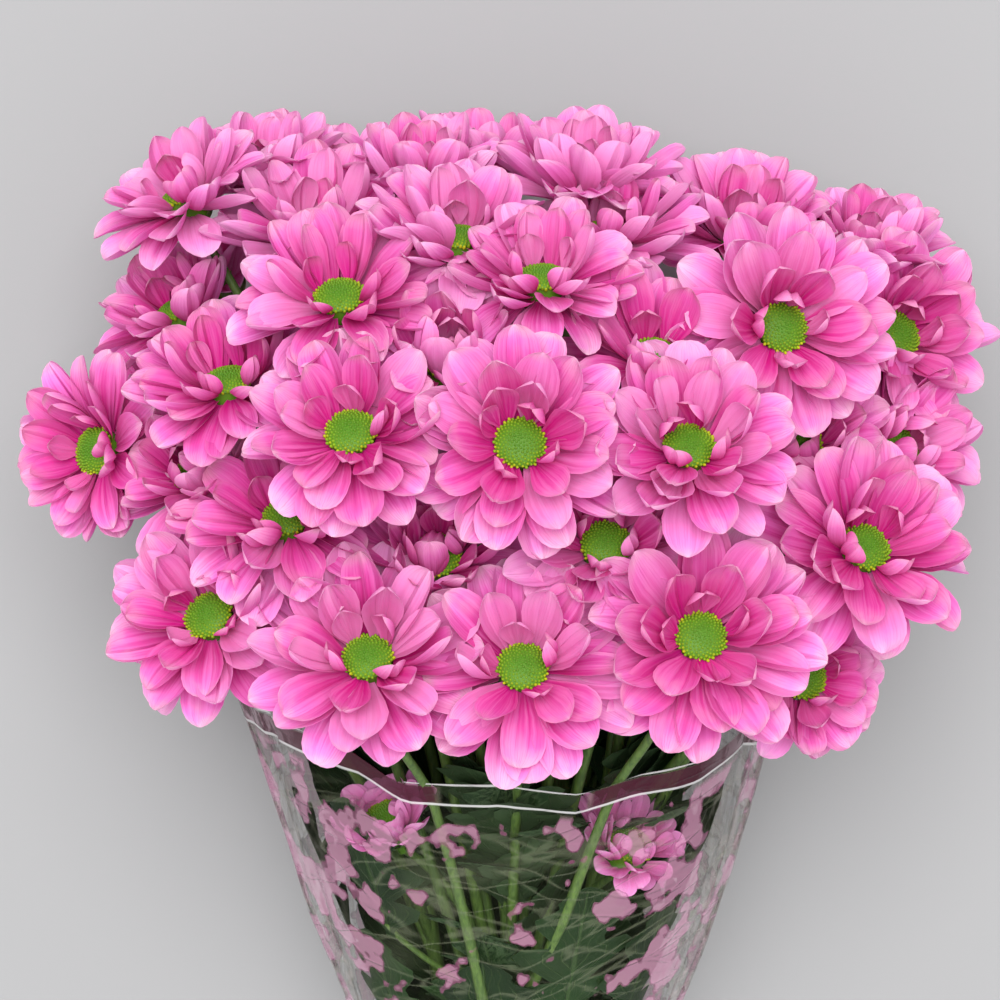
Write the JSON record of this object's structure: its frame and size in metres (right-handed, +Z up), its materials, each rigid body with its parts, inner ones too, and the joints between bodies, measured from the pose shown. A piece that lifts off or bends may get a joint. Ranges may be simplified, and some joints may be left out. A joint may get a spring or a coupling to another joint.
{
  "type": "bunch of spray chrysanthemums in a clear film sleeve",
  "caption": "Bunch of pink spray chrysanthemums with green discs and lobed leaves, in a clear tapered film sleeve, lying on its back.",
  "frame": {"origin": "middle of the bunch's box, on the surface that it lies on", "axes": "+Y along the bunch from the cut ends of the stems to the blooms, +X across it, +Z up"},
  "size_m": [0.3322, 0.6634, 0.221],
  "materials": {
    "petals": "soft satin petals, pink with darker veins and bases",
    "green": "matt green stems and leaves, yellow green discs",
    "film": "clear glossy wrinkled film with a tinted rim"
  },
  "bodies": {
    "root": {"petals_back_left": "petals", "petals_back_middle_left": "petals", "petals_back_middle_right": "petals", "petals_back_right": "petals", "petals_back_upper_far_left": "petals", "petals_back_upper_far_right": "petals", "petals_back_upper_right": "petals", "petals_behind_centre": "petals", "petals_bottom_right": "petals", "petals_centre": "petals", "petals_centre_left": "petals", "petals_centre_right": "petals", "petals_crown_inner": "petals", "petals_crown_left": "petals", "petals_crown_middle": "petals", "petals_far_left": "petals", "petals_far_right": "petals", "petals_front_left": "petals", "petals_front_middle": "petals", "petals_front_right": "petals", "petals_hidden_centre": "petals", "petals_hidden_left": "petals", "petals_hidden_right": "petals", "petals_inner_right": "petals", "petals_inside_left": "petals", "petals_inside_right": "petals", "petals_left_edge": "petals", "petals_left_shoulder": "petals", "petals_low_back_left": "petals", "petals_low_back_middle": "petals", "petals_low_back_right": "petals", "petals_low_left": "petals", "petals_low_right": "petals", "petals_low_side_left": "petals", "petals_low_side_right": "petals", "petals_neck_back_left": "petals", "petals_neck_back_right": "petals", "petals_right_edge": "petals", "petals_right_face": "petals", "petals_side_left": "petals", "petals_side_right": "petals", "petals_top_gap": "petals", "petals_top_gap_left": "petals", "petals_top_inner_left": "petals", "petals_top_left": "petals", "petals_top_left_tip": "petals", "petals_top_middle": "petals", "petals_top_right": "petals", "petals_top_right_tip": "petals", "petals_under_left": "petals", "petals_upper_left": "petals", "petals_upper_middle": "petals", "petals_upper_right": "petals", "sleeve": "film", "spray_crown": "green", "spray_front": "green", "spray_left_back": "green", "spray_left_front": "green", "spray_right_back": "green", "spray_right_front": "green"}
  },
  "joints": []
}
